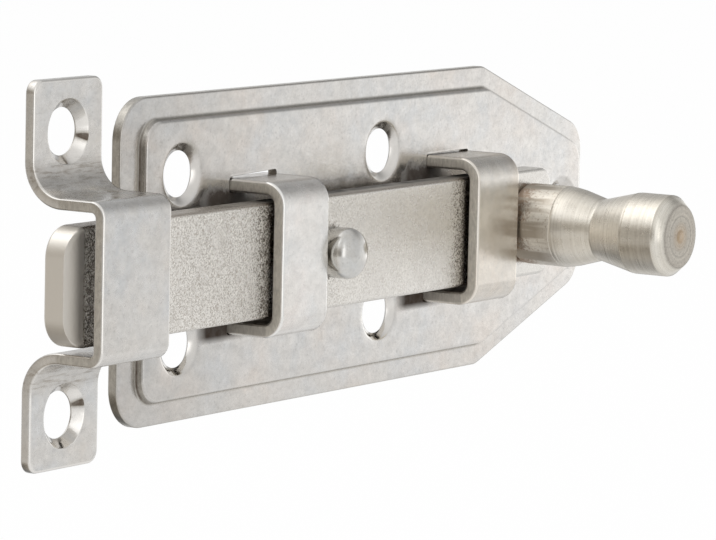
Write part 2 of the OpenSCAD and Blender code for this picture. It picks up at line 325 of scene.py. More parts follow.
def tumbled_steel(
    name, base, cool, warm, edge, rough, mottle=0.13, seed=0.0, waves=0.02, torn=None, dark_layer=True
):
    """Stainless steel after tumbling: clouds of 3 to 15 mm between a cool and a warm cast, times a
    mottling of 0.2 to 2 mm, with small dark pits, a roughness that drifts between the two of rough, a
    fine grain and shallow waves, so many millimetres deep. The mesh's level of finish and painted light
    turns it to sheared metal with fine upright lines at 1, to a dull dark brown, mostly painted shade, at 2
    and to a polish with a painted highlight, a lighter colour, at -1. torn is the sheared metal's own
    roughness, and the flag after it says whether the piece takes the dark brown at all."""
    mat = bpy.data.materials.new(name)
    tree, shader, here = opened(mat)
    shader.inputs["Metallic"].default_value = 1.0
    shift = {"Vector": here, "Location": (seed, 2 * seed, -seed)}
    where = wire(tree, "ShaderNodeMapping", shift).outputs["Vector"]
    cast = blend(tree, remap(tree, grain(tree, where, 75, 4, 0.6), 0.40, 0.60), cool, warm)
    clouds = remap(tree, grain(tree, where, 210, 4, 0.65), 0.35, 0.65, 0.1, 1.0)
    mottles = grain(tree, stretched(tree, where, (0.75, 1.0, 1.0)), 620, 5, 0.82)
    tone = remap(tree, mottles, 0.3, 0.7, 1 - mottle, 1 + mottle)
    colour = toned(tree, blend(tree, clouds, base, cast), tone)
    pits = remap(tree, grain(tree, where, 2100, 2, 0.5), 0.60, 0.74, 0.0, 0.3)
    colour = blend(tree, pits, colour, shade(base, 0.55))
    cut = wire(tree, "ShaderNodeAttribute", attribute_name="cut").outputs["Fac"]
    sheared, polish_and_highlight = remap(tree, cut, 0, 1), remap(tree, cut, -1, 0, 1, 0)
    lines = remap(tree, grain(tree, stretched(tree, where, (1.0, 1.0, 0.4)), 2600, 4, 0.7), 0.35, 0.65)
    colour = blend(tree, sheared, colour, blend(tree, lines, shade(edge, 0.82), shade(edge, 1.12)))
    # Painted highlight: a polish also makes the colour lighter
    colour = blend(tree, times(tree, polish_and_highlight, 0.9), colour, shade(base, 1.25))
    tree.links.new(colour, shader.inputs["Base Color"])
    skin = remap(tree, grain(tree, where, 420, 4, 0.6), 0.35, 0.65, *rough)
    level = times(tree, skin, remap(tree, polish_and_highlight, 0, 1, 1, 0.3))
    if torn:
        level = remap(tree, sheared, 0, 1, level, torn)
    tree.links.new(level, shader.inputs["Roughness"])
    if dark_layer:
        # Where the level passes 1 the steel takes a dull dark brown: painted shade in the step's hollow, the
        # slots, the plate's sinks and inside the straps, and the dark marks in the keeper's sinks and on the
        # straps' lower edges
        dark_brown_share = times(tree, remap(tree, cut, 1, 2), remap(tree, mottles, 0.3, 0.6, 0.6, 1.0))
        lay_dull_colour(tree, dark_brown_share, (0.13, 0.10, 0.075))
    fine = times(tree, grain(tree, where, 2400, 3, 0.6), remap(tree, polish_and_highlight, 0, 1, 1, 0.2))
    emboss(tree, fine, 0.012)
    emboss(tree, grain(tree, where, 300, 3, 0.5), waves)
    return mat


def sheet_metal(name):
    """The plate's steel: painted shade darkens it a little towards the thrown end and lays a dark brown
    on the panel's front.
    It sets in 13 to 10.5 mm before each strap's middle and fades from 5 mm before it to 2 mm after it.
    Above the bar it ends raggedly between 7.4 and 8.8 mm from the bar's middle line, and 1.6 mm further
    out beside a strap. Below the bar it ends between 10.8 and 11.85 mm from that line."""
    mat = tumbled_steel(
        name, (0.64, 0.62, 0.59), (0.615, 0.615, 0.61), (0.67, 0.625, 0.58), (0.50, 0.475, 0.43),
        (0.17, 0.27),
    )
    tree, shader, where = opened(mat)
    x, y, z = wire(tree, "ShaderNodeSeparateXYZ", {0: where}).outputs
    # Painted shade, a little darker towards the thrown end
    colour = toned(tree, so_far(shader, "Base Color"), ramp(tree, x, -36, -6, 0.84, 1.0))
    tree.links.new(colour, shader.inputs["Base Color"])
    # Painted shade on the panel's front beside each strap, above and below the bar
    over = figure(tree, "ADD", z, -ROW_Z * MM)
    ragged = remap(tree, grain(tree, where, 560, 4, 0.7), 0.3, 0.7, -0.8 * MM, 0.8 * MM)
    beside = 0.0
    for strap in GUIDE_X:
        rise, fall = ramp(tree, x, strap - 13, strap - 10.5), ramp(tree, x, strap - 5, strap + 2, 1, 0)
        beside = figure(tree, "MAXIMUM", beside, times(tree, rise, fall))
    reach = figure(tree, "MULTIPLY_ADD", beside, -1.6 * MM, figure(tree, "ADD", over, ragged))
    upper = times(tree, ramp(tree, reach, 7.4, 8.8, 1, 0), ramp(tree, over, 0, 1), 0.95, beside)
    upper = times(tree, upper, ramp(tree, x, -24, -18))
    lower = times(tree, ramp(tree, over, -11.85, -10.8), ramp(tree, over, 0, 1, 1, 0), beside)
    broken = remap(tree, grain(tree, where, 420, 5, 0.7), 0.32, 0.56, 0.88, 1.0)
    front = ramp(tree, y, -1.6, -2.4)
    share = times(tree, figure(tree, "MAXIMUM", upper, lower), broken, front)
    lay_dull_colour(tree, share, (0.07, 0.052, 0.04))
    return mat


sheet_steel = sheet_metal("tumbled_sheet")

outline = [
    (PLATE_ENDS[0], -PLATE_HALF), (TAPER_X, -PLATE_HALF), (PLATE_ENDS[1], -END_HALF),
    (PLATE_ENDS[1], END_HALF), (TAPER_X, PLATE_HALF), (PLATE_ENDS[0], PLATE_HALF),
]
plate_loop = fillet_loop(outline, PLATE_CORNERS)
panel_outline = inset_polygon(outline, RIM)
panel_loop = fillet_loop(panel_outline, PANEL_CORNERS)
recess_loop = fillet_loop(inset_polygon(panel_outline, [RECESS_IN] * 6), RECESS_CORNERS)

plate = Shell()
edge = [(BACK_R, 0.0), *edge_round(BACK_R, BACK_R, BACK_R, -90, 0, 3)[1:]]
edge += edge_round(FRONT_R, FRONT_R, SHEET - FRONT_R, 0, 90)
back_edge, front_edge = plate.wall(plate_loop, edge, cut=[1.0] * 4 + [0.8, 0.5, 0.2, 0])

# The step up to the panel, with painted shade in its hollow and a painted highlight on the panel's rounded
# edge, both most at the left and least at the top
foot = [(-0.45, 0), (-0.3, 0.015), (-0.16, 0.06), (-0.05, 0.15), (0.03, 0.3)]
step = [(i, SHEET + d) for i, d in foot] + edge_round(PANEL_R, PANEL_R + 0.1, PANEL - PANEL_R, 12, 90, 8)
in_shade = 0.75 - 0.35 * (np.clip(panel_loop[1][:, :1], -1, 0) + np.clip(panel_loop[1][:, 1:], 0, 1))
levels = in_shade * [0, 0.7, 1.7, 1.9, 1.3, 0.5, 0, 0, 0, -0.1, -0.3, -0.3, 0]
panel_foot, panel_edge = plate.wall(panel_loop, step, cut=levels)
dish = [(-0.1, 0.0), (0.05, 0.1), (0.15, 0.3), (0.3, 0.9), (0.45, 1.1), (0.7, PANEL_BACK)]
recess_edge, recess_foot = plate.wall(recess_loop, dish, cut=0.0)
plate.face([back_edge, recess_edge], 0.0)
plate.face([front_edge, panel_foot], SHEET)
rims = [(recess_foot, panel_edge)]

# Screw holes: a neck at mid depth, behind it a bell that widens to the back, in front of it the sink, a
# cone with a polish and a painted highlight and with painted shade at its upper right, whose mouth dips
# softly out of the panel
NECK = PANEL - 0.85
SHADE_AT, SHADE_WIDE = 1.05, 0.5
for centre in HOLES:
    hole = ring(centre, HOLE_R)
    bell, dip, painted_shade = (0.75, 2.4, 1.0) if centre[1] else (0.6, 1.7, 0.4)
    section = [(-bell, PANEL_BACK), (0.15 - bell, PANEL_BACK + 0.06), (-0.35, PANEL_BACK + 0.3)]
    section += [(-0.05, NECK - 0.1), (0, NECK), (-0.05, NECK + 0.06), (-0.92, PANEL - 0.17)]
    section += [(-1.12, PANEL - 0.08), (-1.35, PANEL - 0.04), ((-1.35 - dip) / 2, PANEL - 0.015), (-dip, PANEL)]
    turned = np.arctan2(hole[1][:, 1], hole[1][:, 0])[:, None]
    # Painted shade on the sink's upper right, weaker in the end hole
    painted_shade *= np.exp(-((turned - SHADE_AT) / SHADE_WIDE) ** 2) * [0, 0, 0, 0.5, 1.2, 2.2, 2.2, 1.6, 0.6, 0, 0]
    levels = np.array([0, 0.3, 0.5, 0, -0.3, -0.8, -0.8, -0.4, 0, 0, 0]) + painted_shade
    rims.append(plate.wall(hole, section, cut=levels))

# Slots: painted shade inside, with a low burr round the front that takes a polish with a painted highlight
slot_section = [(-0.15, PANEL_BACK), (0, PANEL_BACK + 0.15), (0, PANEL - 0.1)]
slot_section += [(-0.03, PANEL + 0.04), (-0.14, PANEL + 0.06), (-0.4, PANEL)]
for guide, x in enumerate(GUIDE_X):
    for side in (-1, 1):
        near, (left, right) = SLOT_IN * side, (out * side for out in SLOT_OUT[side][guide])
        box = [(x - SLOT_HALF, near), (x + SLOT_HALF, near), (x + SLOT_HALF, right), (x - SLOT_HALF, left)]
        box = [(px, ROW_Z + pz) for px, pz in (box if side > 0 else box[::-1])]
        slot_loop = fillet_loop(box, [SLOT_R] * 4, 6)
        rims.append(plate.wall(slot_loop, slot_section, cut=[0, 1.7, 1.7, 0.6, -0.3, 0]))
back_loops, front_loops = zip(*rims)
plate.face(front_loops, PANEL)
plate.face(back_loops, PANEL_BACK)
plate_piece = plate.make("plate_sheet", "plate", sheet_steel)
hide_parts("back_plate")

# GUIDE STRAPS
# Two strips of 1.8 mm stainless, bent to a square U over the bar. Their legs go through the plate's
# slots and are peened over behind the panel, where four flat lugs hold each strap.

# Thickness, half width, corner of the blank and round of its edges; depth of the front, half height,
# outer bend and depth of the legs' ends
STRAP_T, STRAP_HALF, STRAP_CORNER, STRAP_EDGE = 1.8, 5.6, 0.6, 0.35
STRAP_DEPTH, STRAP_Z, STRAP_BEND, STRAP_FOOT = 11.9, 10.8, 3.3, 0.5
# Peened lugs: across and up from the strap's middle to a lug's middle, half width, reach up and down,
# reach of the short one at the upper right, corner
LUG_X, LUG_Z, LUG_HALF, LUG_REACH, LUG_SHORT, LUG_R = 4.65, 10.4, 1.85, 2.0, 0.35, 0.7


def bent_path(turns):
    """Middle line of a strip as arc length, depth, height and tangent angle. turns lists straight runs
    (length, 0) and bends (radius, degrees) from the middle of the strip outwards; the other half mirrors.
    Each step goes along its chord, which lies halfway between the tangents at the step's two ends."""
    size, angle = np.array(turns, float).T
    steps = np.where(angle, 24, 2)
    turned = np.radians(angle)
    arc = np.repeat(np.where(angle, size * np.abs(turned), size) / steps, steps)
    turned = np.repeat(turned / steps, steps)
    heading = np.radians(90) + np.concatenate([[0], np.cumsum(turned)])
    chord, middle = arc * np.sinc(turned / 2 / np.pi), heading[:-1] + turned / 2
    path = np.cumsum([arc, chord * np.cos(middle), chord * np.sin(middle)], 1)
    return np.vstack([np.pad(path, ((0, 0), (1, 0))), heading])


def bend_strip(path, front, centre_x, centre_z):
    """Bends a flat blank: (along, across, through) follows the path's middle line, through runs to its
    outer side, and the lower half is the mirror of the upper one."""
    def shape(p):
        s = np.abs(p[:, 0])
        side = np.where(p[:, 0] < 0, -1.0, 1.0)
        depth, up, heading = (np.interp(s, path[0], row) for row in path[1:])
        depth = front + depth + p[:, 2] * np.sin(heading)
        up = up - p[:, 2] * np.cos(heading)
        return np.stack([centre_x + p[:, 1], -depth, centre_z + side * up], 1)
    return shape


def strip_blank(half_length, half_width, corner, cuts):
    """Outline of a blank in (along, across), with a point at each fold line on both long sides, and the
    pairs of points that each fold line joins."""
    steps = 8
    box = [(-half_length, -half_width), (half_length, -half_width)]
    box += [(half_length, half_width), (-half_length, half_width)]
    pts, nrm = fillet_loop(box, [corner] * 4, steps)
    near = np.stack([cuts, np.full(len(cuts), -half_width)], 1)
    far = np.stack([cuts[::-1], np.full(len(cuts), half_width)], 1)
    down, up = np.tile([0.0, -1.0], (len(cuts), 1)), np.tile([0.0, 1.0], (len(cuts), 1))
    loop = np.concatenate([pts[:steps], near, pts[steps:3 * steps], far, pts[3 * steps:]])
    normals = np.concatenate([nrm[:steps], down, nrm[steps:3 * steps], up, nrm[3 * steps:]])
    n = len(cuts)
    folds = [(steps + i, 3 * steps + 2 * n - 1 - i) for i in range(n)]
    return (loop, normals), folds


def strip(shell, blank, folds, thick, shape, radius, holes=(), edge_cut=1.0, burr=0.04, inner=0.0):
    """Closed strip: rounded long edges with a low burr round the front, both faces folded at the cuts, and
    holes with their own walls. The front rounding and the burr take a polish with a painted highlight.
    edge_cut is the finish of the sheared edge, one value or one a point, and inner that of the face
    towards the bend's middle, which on the straps is painted shade."""
    half = thick / 2
    section = edge_round(radius, radius, radius - half, -90, 0)
    section += edge_round(radius, radius, half - radius, 0, 70, 4)
    section += [(radius, half + burr), (radius + 0.14, half)]
    share = np.array([inner, inner, 0.5 * inner, 0.3, 1, 1, 0.2, 0, 0, 0, 0])
    # Painted highlight: a polish on the front rounding and the burr
    edge_polish_and_highlight = np.array([0, 0, 0.3, 0, 0, 0, 0, 0.8, 0.8, 0.8, 0.2])
    levels = np.broadcast_to(edge_cut, len(blank[0]))[:, None] * share - edge_polish_and_highlight
    walls = [(blank, section, levels), *holes]
    back, front = zip(*[shell.wall(loop, profile, shape, cut) for loop, profile, cut in walls])
    shell.face(back, -half, shape, folds, inner)
    shell.face(front, half, shape, folds)


strap_mid = STRAP_BEND - STRAP_T / 2
bend_from = STRAP_Z - STRAP_BEND
strap_path = bent_path([(bend_from, 0), (strap_mid, 90), (STRAP_DEPTH - STRAP_BEND - STRAP_FOOT, 0)])
half_run = strap_path[0, -1]
bend_cuts = np.linspace(bend_from, bend_from + strap_mid * np.pi / 2, 17)
strap_cuts = np.concatenate([-bend_cuts[::-1], bend_cuts])
# The knob's strap takes a darker, warmer copy of the same steel: painted shade
strap_steels = {
    "guide_tip": tumbled_steel(
        "strip_steel", (0.73, 0.705, 0.67), (0.71, 0.71, 0.70), (0.76, 0.71, 0.67), (0.70, 0.67, 0.61),
        (0.20, 0.30), seed=0.7, torn=0.5,
    ),
    "guide_knob": tumbled_steel(
        "strip_steel_painted_shade", (0.66, 0.62, 0.56), (0.64, 0.62, 0.585), (0.69, 0.62, 0.54), (0.74, 0.705, 0.64),
        (0.20, 0.30), seed=0.7, torn=0.5,
    ),
}
for name, x in zip(strap_steels, GUIDE_X):
    strap = Shell()
    blank, folds = strip_blank(half_run, STRAP_HALF, STRAP_CORNER, strap_cuts)
    below = np.where(blank[0][:, 0] < 0.5 - bend_cuts[-1], 1.35, 1.0)
    bend = bend_strip(strap_path, STRAP_DEPTH - STRAP_T / 2, x, ROW_Z)
    # Painted shade inside the U: the inner face takes level 2
    strip(strap, blank, folds, STRAP_T, bend, STRAP_EDGE, edge_cut=below, inner=2.0)
    for side in (-1, 1):
        for end in (-1, 1):
            cx, cz = x + end * LUG_X, ROW_Z + side * LUG_Z
            left, right, low = cx - LUG_HALF, cx + LUG_HALF, cz - LUG_REACH
            top = cz + (LUG_SHORT if side + end == 2 else LUG_REACH)
            loop = fillet_loop([(left, low), (right, low), (right, top), (left, top)], [LUG_R] * 4, 6)
            section = [(0.2, STRAP_FOOT), (0.06, STRAP_FOOT + 0.06), (0, STRAP_FOOT + 0.2), (0, PANEL_BACK)]
            lug_foot, lug_top = strap.wall(loop, section)
            strap.face([lug_foot], STRAP_FOOT)
            strap.face([lug_top], PANEL_BACK)
    piece = strap.make(name.replace("guide", "strap"), "plate", strap_steels[name])
    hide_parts(name)

# KEEPER
# A 15 x 1.5 mm stainless strip bent in a press: two ears flat on the frame, each with a countersunk
# screw hole, and a square bridge over the bar's tip.

# Middle in X, thickness, half width, corner of the ears and round of the edges; depth of the front, half
# height and outer bend of the bridge; inner bend and end of the ears, distance between their holes
KEEPER_X, KEEPER_T, KEEPER_HALF, KEEPER_CORNER, KEEPER_EDGE = -48.8, 1.5, 7.5, 1.8, 0.3
KEEPER_DEPTH, BRIDGE_Z, BRIDGE_BEND = 13.1, 10.9, 2.2
EAR_BEND, EAR_END, KEEPER_PITCH = 4.4, 25.95, 37.7
bridge_mid = BRIDGE_BEND - KEEPER_T / 2
ear_mid = EAR_BEND + KEEPER_T / 2
web = KEEPER_DEPTH - BRIDGE_BEND - KEEPER_T - EAR_BEND
first = BRIDGE_Z - BRIDGE_BEND
keeper_path = bent_path([
    (first, 0), (bridge_mid, 90), (web, 0), (ear_mid, -90), (EAR_END - BRIDGE_Z - EAR_BEND, 0),
])
second = first + bridge_mid * np.pi / 2 + web
cuts = np.concatenate([
    np.linspace(first, first + bridge_mid * np.pi / 2, 13),
    np.linspace(second, second + ear_mid * np.pi / 2, 25),
])
keeper_cuts = np.concatenate([-cuts[::-1], cuts])
keeper_half_run = keeper_path[0, -1]
hole_run = keeper_half_run - (EAR_END - KEEPER_PITCH / 2)


def pressed_strip(name):
    """The keeper's steel: just past each ear's bend, 11 to 15.8 mm up and down, painted shade makes it
    darker, and the press has left brown rub marks along X."""
    mat = tumbled_steel(
        name, (0.66, 0.64, 0.61), (0.63, 0.635, 0.635), (0.69, 0.65, 0.60), (0.50, 0.475, 0.43),
        (0.22, 0.34), seed=1.9,
    )
    tree, shader, where = opened(mat)
    up = figure(tree, "ABSOLUTE", wire(tree, "ShaderNodeSeparateXYZ", {0: where}).outputs["Z"])
    band = times(tree, ramp(tree, up, 11, 12.5), ramp(tree, up, 14.5, 15.8, 1, 0))
    rubs = grain(tree, stretched(tree, where, (0.22, 1.0, 1.6)), 1500, 4, 0.65)
    marks = remap(tree, rubs, 0.48, 0.66, 0, 0.55)
    # Painted shade darkens the band; the rub marks go over it
    colour = blend(tree, times(tree, band, 0.35), so_far(shader, "Base Color"), (0.42, 0.40, 0.37))
    colour = blend(tree, times(tree, band, marks), colour, (0.24, 0.20, 0.155))
    tree.links.new(colour, shader.inputs["Base Color"])
    return mat


# Screw holes of the ears: sinks with a polish and a painted highlight, a thin dark line near the top and
# a broad dark patch on their right. Each rim has a point wherever a fold crosses it
LINE_AT = {1: 1.78, -1: 1.25}
LINE_WIDE, PATCH_AT, PATCH_WIDE = 0.14, 0.35, 0.4
top, mouth = KEEPER_T / 2, SINK_R - HOLE_R
land = top - SINK
hole_section = [(-0.08, -top), (0, 0.08 - top), (0, land - 0.04), (-0.04, land + 0.03)]
hole_section += [(-mouth + 0.12, top - 0.12), (-mouth, top - 0.025), (-mouth - 0.1, top)]
keeper_holes = []
for side in (-1, 1):
    across = side * (keeper_cuts - side * hole_run) / (HOLE_R + mouth + 0.1)
    meets = np.arccos(across[np.abs(across) < 1]) + (0 if side > 0 else np.pi)
    hole = ring((side * hole_run, 0), HOLE_R, extra=np.concatenate([meets, -meets]))
    turned = np.arctan2(hole[1][:, 1], hole[1][:, 0])[:, None]
    dark_line = 5 * np.exp(-((turned - LINE_AT[side]) / LINE_WIDE) ** 2) * [0, 0, 0.2, 0.5, 1, 0.8, 0]
    dark_patch = 1.5 * np.exp(-((turned - PATCH_AT) / PATCH_WIDE) ** 2) * [0, 0, 0, 0, 0.8, 1.6, 0]
    keeper_holes.append((hole, hole_section, np.array([0.3, 0.5, 0.5, -0.6, -1, -1, 0]) + dark_line + dark_patch))
keeper = Shell()
blank, folds = strip_blank(keeper_half_run, KEEPER_HALF, KEEPER_CORNER, keeper_cuts)
# The ears' edges are a quarter as sheared as the rest
edge_share = np.where(np.abs(blank[0][:, 0]) > second, 0.25, 1.0)
bend = bend_strip(keeper_path, KEEPER_DEPTH - KEEPER_T / 2, KEEPER_X, 0)
strip(keeper, blank, folds, KEEPER_T, bend, KEEPER_EDGE, keeper_holes, edge_share)
keeper_piece = keeper.make("keeper_strip", "plate", pressed_strip("tumbled_keeper"))
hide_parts("keeper")

# BAR
# Drawn 16 x 4 mm stainless bar with rolled edges and rounded ends, which slides in the two straps. Its
# tip is bevelled and ground smooth, and the rest of its front is coarsely blasted.

# Ends in X, corners from the tip's lower one on, half height, depths of both faces, round of the edges,
# length and fall of the bevel; the stud's middle and radius
BAR_ENDS, BAR_CORNERS = (-59.35, 60.65), [4.2, 2.8, 2.8, 4.2]
BAR_HALF, BAR_FACES, BAR_ROUND, BEVEL = 8.0, (5.7, 9.7), 0.6, (3.2, 0.7)
PIN_X, PIN_R = 1.65, 3.6
# Painted shade on the bar: where it sets in and is full before each strip that crosses the bar, and how
# much there is
SHADE_BANDS = [(-57.5, -54.5, 0.9), (-19.0, -14.2, 0.85), (31.0, 36.1, 0.85)]
bar_box = [
    (BAR_ENDS[0], ROW_Z - BAR_HALF), (BAR_ENDS[1], ROW_Z - BAR_HALF),
    (BAR_ENDS[1], ROW_Z + BAR_HALF), (BAR_ENDS[0], ROW_Z + BAR_HALF),
]


def bar_shape(p):
    """Stands the bar up and holds its front behind the bevel: depth falls in a straight line over the
    length of the bevel."""
    run = np.clip((p[:, 0] - BAR_ENDS[0]) / BEVEL[0], 0, 1)
    depth = np.minimum(p[:, 2], BAR_FACES[1] - BEVEL[1] * (1 - run))
    return stand(np.stack([p[:, 0], p[:, 1], depth], 1))


def from_axis(tree, where, x):
    """Distance from the axis along Y that crosses the row's height at X = x, and height above it."""
    shift = {"Vector": where, "Location": (-x * MM, 0, -ROW_Z * MM), "Scale": (1, 0, 1)}
    centred = wire(tree, "ShaderNodeMapping", shift).outputs["Vector"]
    off = wire(tree, "ShaderNodeVectorMath", {0: centred}, operation="LENGTH").outputs["Value"]
    return off, wire(tree, "ShaderNodeSeparateXYZ", {0: centred}).outputs["Z"]


def blasted_steel(name):
    """Blasted bar: brighter metal with pits of about 0.25 mm in tone and surface, coarser towards the tip
    and fading out over 0.5 mm on the ground tip. Painted shade fills the pits with dark brown below a
    level that rises towards each strip that crosses the bar, and the same dark brown fills them round the
    stud. The upper edge has a painted brown shade. The top face has dark painted shade up to the knob's
    strap, less at its front, and painted light past it."""
    mat = tumbled_steel(
        name, (0.65, 0.625, 0.59), (0.64, 0.635, 0.62), (0.67, 0.63, 0.59), (0.56, 0.53, 0.48),
        (0.20, 0.30), 0.10, 3.1, dark_layer=False,
    )
    tree, shader, where = opened(mat)
    along, through, _ = wire(tree, "ShaderNodeSeparateXYZ", {0: where}).outputs
    off, up = from_axis(tree, where, PIN_X)
    blasted, knob_end = ramp(tree, along, -56.2, -55.7), ramp(tree, along, 46, 49)
    coarse = times(tree, blasted, ramp(tree, along, -12, 12, 1.0, 0.45), remap(tree, knob_end, 0, 1, 1.0, 0.5))
    pits = grain(tree, where, 4700, 2, 0.6)
    emboss(tree, times(tree, pits, coarse), 0.13)

    skin = so_far(shader, "Base Color")
    tone = times(tree, ramp(tree, along, -12, 12, 0.85, 0.76), remap(tree, knob_end, 0, 1, 1.0, 0.93))
    channels = {0: tone, 1: times(tree, tone, 0.97), 2: times(tree, tone, 0.915)}
    fresh = blend(tree, blasted, skin, wire(tree, "ShaderNodeCombineColor", channels).outputs[0])
    cloudy = remap(tree, grain(tree, where, 160, 4, 0.6), 0.45, 0.62, 0.0, 0.25)
    shaded = times(tree, remap(tree, pits, 0.36, 0.54, 0.60, 0.0), coarse)
    pitted = blend(tree, shaded, blend(tree, cloudy, fresh, skin), (0.30, 0.255, 0.20))
    # Painted shade in the pits, rising towards each strip that crosses the bar, and the same dark brown round
    # the stud
    held = ramp(tree, off, 1.03 * PIN_R, 1.3 * PIN_R, 0.55, 0)
    for start, stop, most in SHADE_BANDS:
        band = times(tree, ramp(tree, along, start, stop, 0, most), ramp(tree, along, stop + 2, stop + 9, 1, 0))
        held = figure(tree, "MAXIMUM", held, band)
    deep = figure(tree, "MULTIPLY_ADD", held, -0.24, pits)
    shaded_pits = times(tree, remap(tree, deep, 0.27, 0.37, 1.0, 0.0), remap(tree, held, 0, 0.5, 0, 0.8), blasted)
    pits_in_shade = blend(tree, shaded_pits, pitted, (0.075, 0.055, 0.038))
    colour = blend(tree, blasted, (0.75, 0.715, 0.66), pits_in_shade)
    # Painted brown shade along the upper edge
    edge_shade = times(tree, ramp(tree, up, 7.6, 7.8, 0, 0.55), ramp(tree, along, 40, 47.5, 1, 0), blasted)
    tree.links.new(blend(tree, edge_shade, colour, (0.24, 0.185, 0.13)), shader.inputs["Base Color"])
    satin = remap(tree, blasted, 0, 1, 0.45, so_far(shader, "Roughness"))
    tree.links.new(satin, shader.inputs["Roughness"])

    # Painted shade on the top face up to the knob's strap, less at its front
    top = ramp(tree, up, 7.87, 7.97)
    between = times(tree, ramp(tree, along, -24, -12), ramp(tree, along, 40, 49, 1, 0))
    patchy = remap(tree, grain(tree, where, 260, 4, 0.65), 0.38, 0.60, 0.7, 1.0)
    inward = ramp(tree, through, -9.3, -7.8, 0.3, 1.0)
    lay_dull_colour(tree, times(tree, top, patchy, between, inward), (0.10, 0.095, 0.09))
    # Painted light on the top face past the knob's strap
    painted_light_top = times(tree, top, 0.7, ramp(tree, along, 46.5, 48))
    lay_dull_colour(tree, painted_light_top, (0.66, 0.645, 0.615), 0.6)
    return mat


def cut_across(loop, inset, x):
    """Loop with a point added wherever its outline, moved in by inset, crosses X = x: a share of the way
    along that edge, with the blended normal. Also returns the rows of the added points."""
    flat, normals = loop
    line = flat[:, 0] - normals[:, 0] * inset - x
    k = np.nonzero(line * np.roll(line, -1) < 0)[0]
    share = (line[k] / (line[k] - np.roll(line, -1)[k]))[:, None]
    new = flat[k] * (1 - share) + np.roll(flat, -1, 0)[k] * share
    tilt = normals[k] * (1 - share) + np.roll(normals, -1, 0)[k] * share
    return (np.insert(flat, k + 1, new, 0), np.insert(normals, k + 1, tilt, 0)), k + 1 + np.arange(len(k))


bar = Shell()
bar_outline = fillet_loop(bar_box, BAR_CORNERS, 16)
bar_loop, line = cut_across(bar_outline, BAR_ROUND, BAR_ENDS[0] + BEVEL[0])
section = edge_round(BAR_ROUND, BAR_ROUND, BAR_FACES[0] + BAR_ROUND, -90, 0, 7)
section += edge_round(BAR_ROUND, BAR_ROUND, BAR_FACES[1] - BAR_ROUND, 0, 90, 7)
back_edge, front_edge = bar.wall(bar_loop, section, bar_shape, cut=0)
bar.face([back_edge], BAR_FACES[0], bar_shape)
bar.face([front_edge], BAR_FACES[1], bar_shape, [line])
bar_piece = bar.make("bar_body", "bolt", blasted_steel("blasted_bar"), sharp=14)
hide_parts("bolt_bar")

# STOP PIN
# A short stud turned from stainless rod and polished bright, its shank pressed into the bar between the
# straps. It stops the bar against one strap when thrown and against the other when drawn.

# Height over the bar, height and power of the crown; the shank's radius and the depth of its end, and the
# chamfer round the foot
PIN_HIGH, PIN_CROWN, PIN_POWER = 5.0, 2.4, 2.3
PIN_SHANK, PIN_FOOT, PIN_EDGE = 2.0, 5.75, 0.12


def turn(profile, x, z, steps=128):
    """Turned surface: the profile's (radius, depth) pairs carried round an axis along Y, closed at r = 0."""
    r, depth = np.asarray(profile, float).T
    a = np.linspace(0, 2 * np.pi, steps, endpoint=False)[:, None]
    pts = np.stack([x + r * np.cos(a), np.broadcast_to(-depth, (steps, len(r))), z + r * np.sin(a)], -1)
    return pts.reshape(-1, 3), grid_faces(steps, len(r))


# The crown is a superellipse that runs smoothly out of the side
bar_front = BAR_FACES[1]
pin_profile = [(0, PIN_FOOT), (PIN_SHANK, PIN_FOOT), (PIN_SHANK, bar_front)]
pin_profile += [(PIN_R - PIN_EDGE, bar_front), (PIN_R, bar_front + PIN_EDGE)]
crown_from = bar_front + PIN_HIGH - PIN_CROWN
lean = np.radians(np.linspace(0, 90, 33))
crown_r, crown_up = PIN_R * np.cos(lean) ** (2 / PIN_POWER), PIN_CROWN * np.sin(lean) ** (2 / PIN_POWER)
pin_profile += list(zip(crown_r, crown_from + crown_up))
pin = Shell()
pin.add(*turn(pin_profile, PIN_X, ROW_Z))
pin_steel = tumbled_steel(
    "polished_pin", (0.64, 0.62, 0.58), (0.61, 0.61, 0.60), (0.66, 0.62, 0.57), (0.55, 0.53, 0.5),
    (0.13, 0.22), 0.08, 5.3, dark_layer=False,
)
pin_piece = pin.make("pin_stud", "bolt", pin_steel, sharp=60)
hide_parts("stop_pin")

# KNOB
# Turned from 12 mm stainless rod: the foot keeps the drawn skin up to the tool's first line, then the
# waist, the head and its chamfer carry fine rings. Its shank goes through the bar and is peened.

# Middle and radii; distances from the bar to the end face, the tool's first line, the waist and the
# head, length of the chamfer; radii of shank, foot's round and peened head, depth of that head's back
KNOB_X, KNOB_R, WAIST_R, FACE_R = 54.2, 6.0, 4.55, 4.6
KNOB_LEN, KNOB_LINE, KNOB_WAIST, KNOB_HEAD, KNOB_CHAMFER = 26.1, 7.0, 13.3, 19.3, 1.6
KNOB_SHANK, KNOB_FOOT, PEEN_R, PEEN_BACK = 3.0, 0.8, 4.0, 4.9
KNOB_STEPS = 160
knob_profile = [(0, PEEN_BACK), (PEEN_R - 0.3, PEEN_BACK), (PEEN_R, PEEN_BACK + 0.2), (PEEN_R, BAR_FACES[0])]
knob_profile += [(KNOB_SHANK, BAR_FACES[0]), (KNOB_SHANK, bar_front), (KNOB_R - KNOB_FOOT, bar_front)]
foot_round = edge_round(KNOB_FOOT, KNOB_FOOT, KNOB_FOOT, -90, 0, 8)[1:]
knob_profile += [(KNOB_R - i, bar_front + d) for i, d in foot_round]

